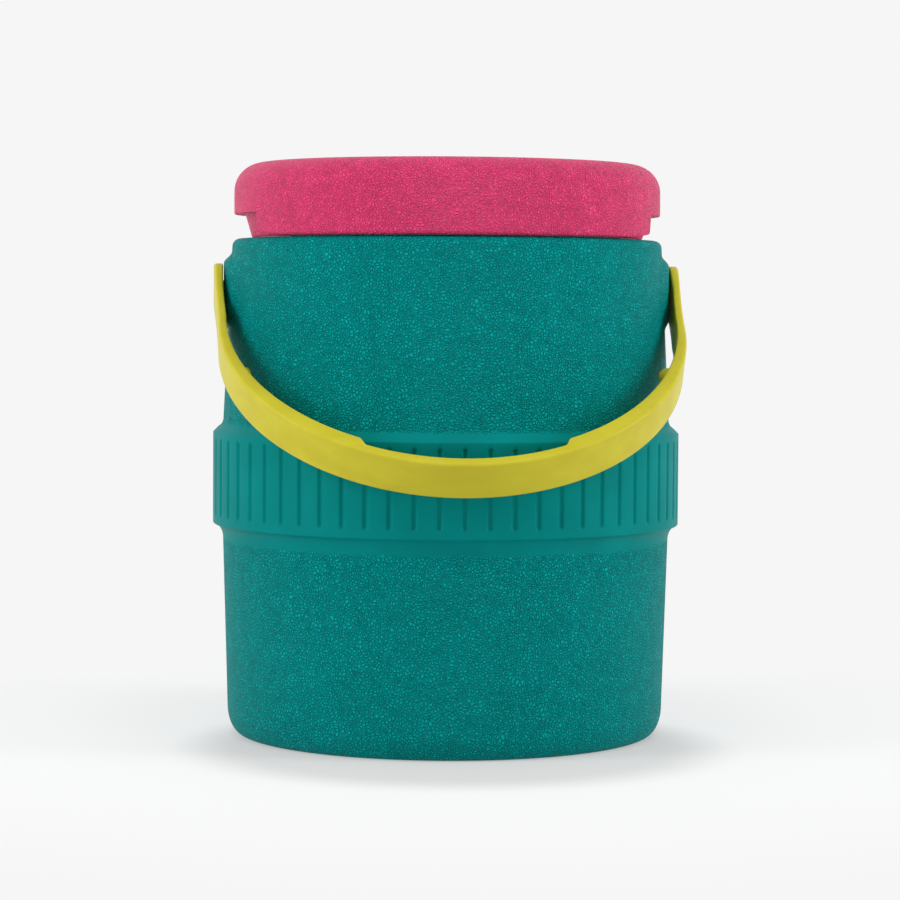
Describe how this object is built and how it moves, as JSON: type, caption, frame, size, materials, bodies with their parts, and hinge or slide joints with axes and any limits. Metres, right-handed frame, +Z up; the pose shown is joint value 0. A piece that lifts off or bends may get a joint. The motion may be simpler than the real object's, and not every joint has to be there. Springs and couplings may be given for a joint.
{
  "type": "round drinks cooler",
  "caption": "Round insulated drinks cooler with a grained body, a smooth ribbed band, a lift-off lid with finger notches, and a bail that swings over the lid.",
  "frame": {"origin": "on the body's vertical axis, in the plane that the cooler stands on", "axes": "+Z up along the body's axis, -Y towards the front where the bail hangs, +X along the bail's pivots"},
  "size_m": [0.2512, 0.2706, 0.306],
  "materials": {
    "body_plastic": "teal polyethylene, leather-grained, with a smooth satin band",
    "lid_plastic": "pink polyethylene, leather-grained",
    "bail_plastic": "yellow polyethylene, smooth satin",
    "liner_plastic": "white food-safe polyethylene, smooth",
    "foam": "closed-cell insulating foam"
  },
  "bodies": {
    "body": {"outer_shell": "body_plastic", "inner_liner": "liner_plastic", "body_foam": "foam", "foam_fill_plug": "body_plastic"},
    "lid": {"lid_shell": "lid_plastic", "lid_pan": "liner_plastic", "lid_foam": "foam"},
    "bail": {"bail_handle": "bail_plastic"}
  },
  "joints": [
    {"name": "bail_swing", "type": "hinge", "parent": "body", "child": "bail", "pos_m": [0, 0, 0.2373], "axis": [-1, 0, 0], "range_deg": [0, 248]},
    {"name": "lid_lift", "type": "slide", "parent": "body", "child": "lid", "axis": [0, 0, 1], "range_m": [0, 0.2]}
  ]
}
